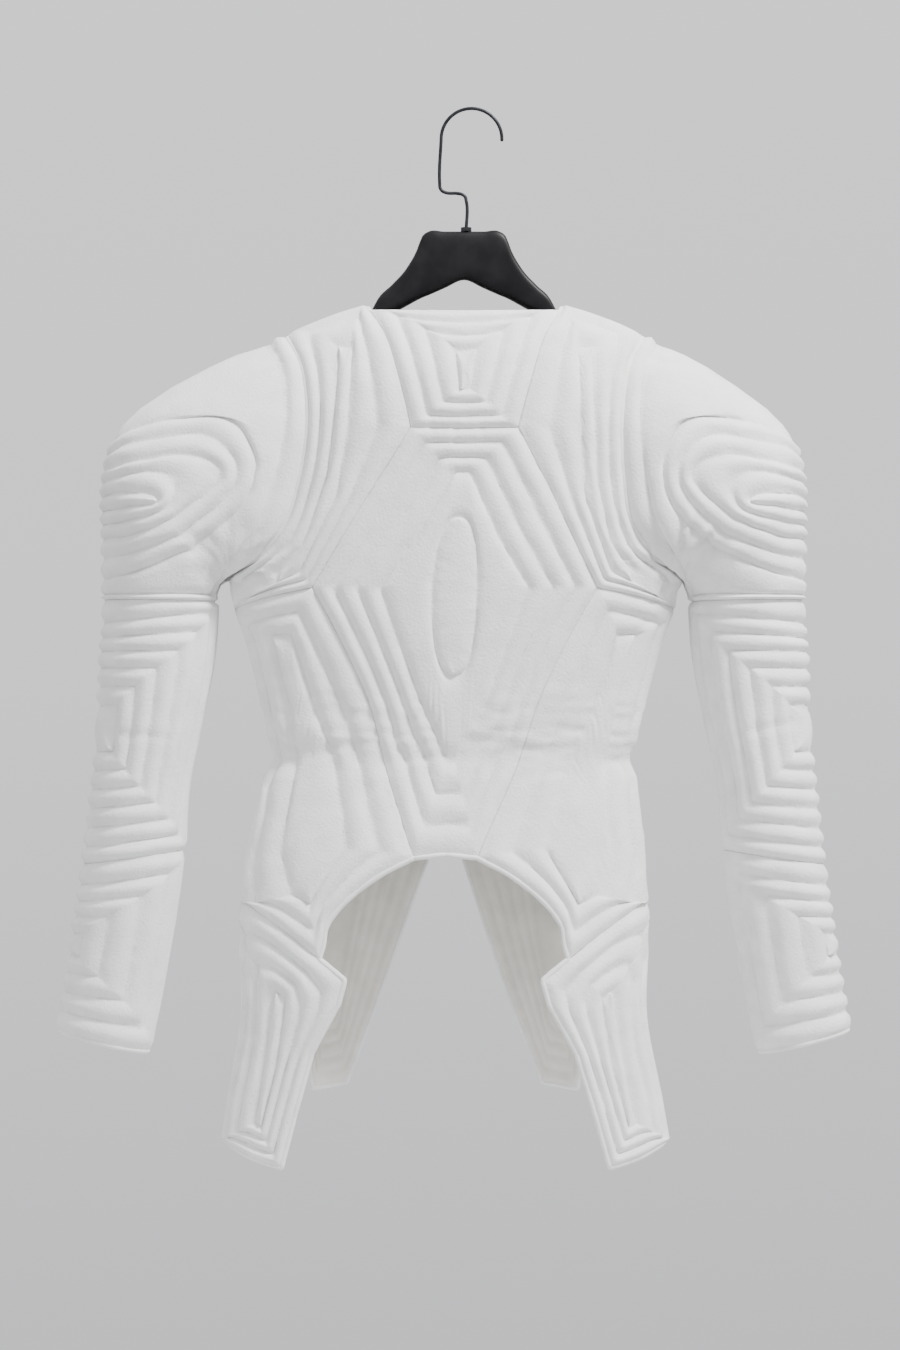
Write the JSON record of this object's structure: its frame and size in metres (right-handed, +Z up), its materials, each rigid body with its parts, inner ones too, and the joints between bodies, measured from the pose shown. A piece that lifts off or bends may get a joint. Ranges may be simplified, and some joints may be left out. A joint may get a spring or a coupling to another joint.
{
  "type": "fencing jacket on hanger",
  "caption": "Quilted long-sleeved fencing jacket with puffed shoulders and a tailed hem, on a wide shoulder hanger with a bent wire hook.",
  "frame": {"origin": "underside of the hook's crest, where the rod or wall hook bears", "axes": "+Z up, the jacket's back faces -Y, its wearer's right side is at +X"},
  "size_m": [0.7446, 0.1556, 0.9795],
  "materials": {
    "cloth": "matt brushed padded cloth with sewn channels",
    "hanger_plastic": "satin black moulded plastic",
    "hook_wire": "dark plated wire, half gloss"
  },
  "bodies": {
    "root": {"back_yoke": "cloth", "back_centre": "cloth", "back_side_upper_left": "cloth", "back_side_upper_right": "cloth", "back_side_lower_left": "cloth", "back_side_lower_right": "cloth", "back_tail_left": "cloth", "back_tail_right": "cloth", "front_left": "cloth", "front_right": "cloth", "sleeve_cap_left": "cloth", "sleeve_cap_right": "cloth", "sleeve_elbow_left": "cloth", "sleeve_elbow_right": "cloth", "sleeve_forearm_left": "cloth", "sleeve_forearm_right": "cloth", "hanger_body": "hanger_plastic", "hanger_hook": "hook_wire", "hanger_collar": "hook_wire"}
  },
  "joints": []
}
